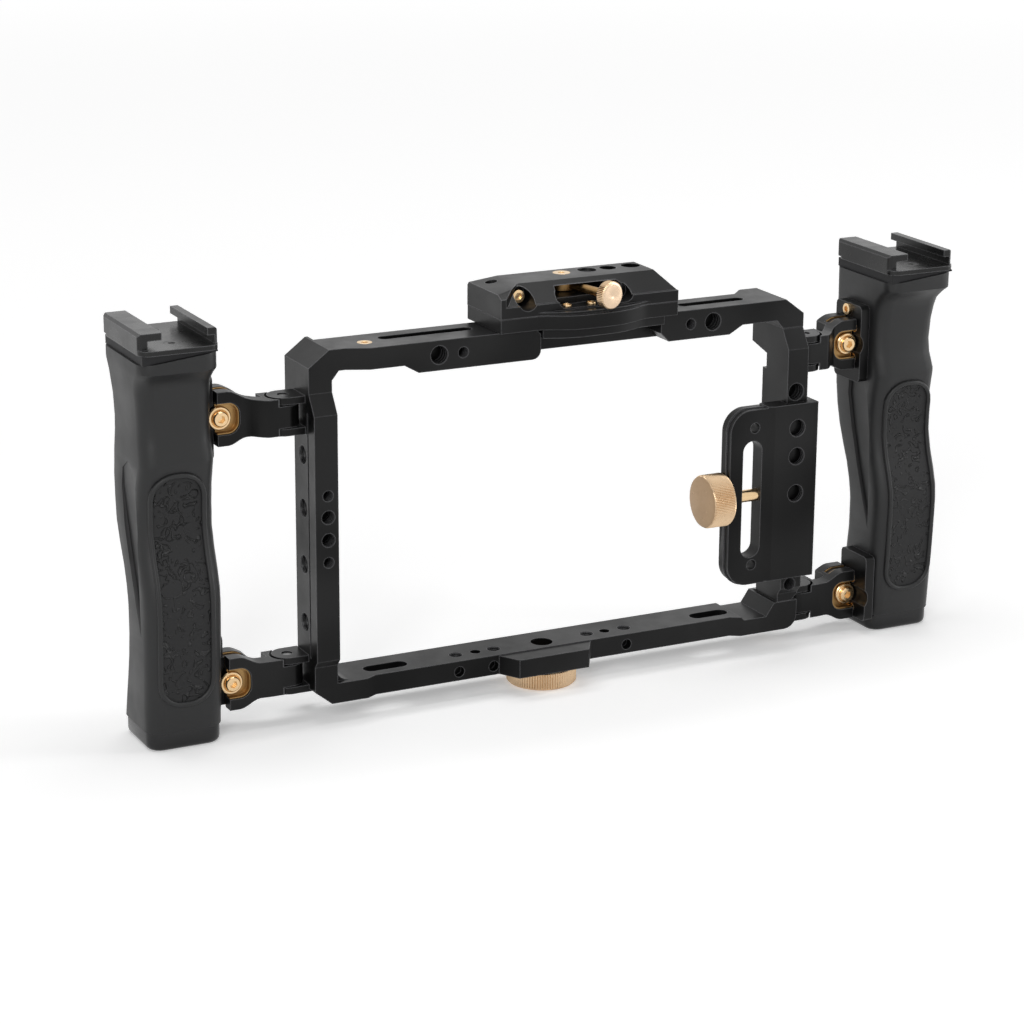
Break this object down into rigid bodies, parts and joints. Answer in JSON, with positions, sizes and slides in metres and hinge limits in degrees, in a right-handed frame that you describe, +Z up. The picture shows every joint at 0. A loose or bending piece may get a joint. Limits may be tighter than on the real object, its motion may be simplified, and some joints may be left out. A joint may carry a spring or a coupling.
{
  "type": "camera cage",
  "caption": "Rectangular aluminium camera cage with swinging side handles, cold shoes on top, a lever clamp, a sliding slotted bracket and a captive thumbscrew.",
  "frame": {"origin": "on the table under the middle of the cage's box", "axes": "+Z up, X along the cage's width with the side bracket at +X, the front with the knobs faces -Y"},
  "size_m": [0.25, 0.0358, 0.1178],
  "materials": {
    "black_anodised": "fine matt black anodised",
    "shoe_black": "matt black anodised",
    "grip_shell": "smooth satin charcoal",
    "grip_rubber": "matt with a fine raised texture",
    "cap_gloss": "polished black",
    "spacer_black": "matt",
    "gold_anodised": "knurled and turned, warm gold",
    "gold_screw": "bright warm gold",
    "brass": "satin",
    "dark_steel": "blackened",
    "pin_steel": "ground"
  },
  "bodies": {
    "cage_frame": {"left_frame": "black_anodised", "right_frame": "black_anodised", "bridge_bar": "black_anodised", "bridge_screws": "dark_steel", "corner_screw": "gold_screw", "hook_screw": "gold_screw", "hinge_pins_left": "pin_steel", "hinge_pins_right": "pin_steel", "clamp_base": "black_anodised", "clamp_base_screws": "dark_steel", "clamp_body": "black_anodised", "clamp_body_screws": "gold_screw", "clamp_pivot_screw": "gold_screw", "clamp_front_screw": "gold_screw"},
    "clamp_lever": {"clamp_lever": "brass", "clamp_lever_knob": "gold_anodised"},
    "side_bracket": {"side_bracket": "black_anodised"},
    "side_thumbscrew": {"side_screw": "gold_screw", "side_knob": "gold_anodised"},
    "bottom_thumbscrew": {"bottom_screw": "gold_screw", "bottom_knob": "gold_anodised"},
    "left_handle": {"left_upper_arm": "black_anodised", "left_lower_arm": "black_anodised", "clamp_bolts_left": "gold_screw", "brass_washers_left": "brass", "left_upper_plate": "black_anodised", "left_lower_plate": "black_anodised", "plate_screws_left": "gold_screw", "left_grip": "grip_shell", "left_inlay": "grip_rubber", "left_cap": "cap_gloss", "cap_screw_left": "dark_steel", "left_spacer": "spacer_black", "left_shoe": "shoe_black", "shoe_screws_left": "dark_steel"},
    "right_handle": {"right_upper_arm": "black_anodised", "right_lower_arm": "black_anodised", "clamp_bolts_right": "gold_screw", "brass_washers_right": "brass", "right_upper_plate": "black_anodised", "right_lower_plate": "black_anodised", "plate_screws_right": "gold_screw", "right_grip": "grip_shell", "right_inlay": "grip_rubber", "right_cap": "cap_gloss", "cap_screw_right": "dark_steel", "right_spacer": "spacer_black", "right_shoe": "shoe_black", "shoe_screws_right": "dark_steel"}
  },
  "joints": [
    {"name": "left_handle_swing", "type": "hinge", "parent": "cage_frame", "child": "left_handle", "pos_m": [-0.0816, -0.00041, 0.05], "axis": [0, 0, 1], "range_deg": [-45, 45]},
    {"name": "right_handle_swing", "type": "hinge", "parent": "cage_frame", "child": "right_handle", "pos_m": [0.0816, -0.00041, 0.05], "axis": [0, 0, 1], "range_deg": [-45, 45]},
    {"name": "clamp_lever_swing", "type": "hinge", "parent": "cage_frame", "child": "clamp_lever", "pos_m": [0.004, 0.00379, 0.114], "axis": [0, 0, 1], "range_deg": [-36, 8]},
    {"name": "side_bracket_slide", "type": "slide", "parent": "cage_frame", "child": "side_bracket", "axis": [0, 0, 1], "range_m": [-0.006, 0.006]},
    {"name": "side_thumbscrew_turn", "type": "hinge", "parent": "side_bracket", "child": "side_thumbscrew", "pos_m": [0.06, -0.00961, 0.0489], "axis": [1, 0, 0], "continuous": true},
    {"name": "bottom_thumbscrew_turn", "type": "hinge", "parent": "cage_frame", "child": "bottom_thumbscrew", "pos_m": [-0.0043, -0.00241, 0.008], "axis": [0, 0, 1], "continuous": true}
  ]
}
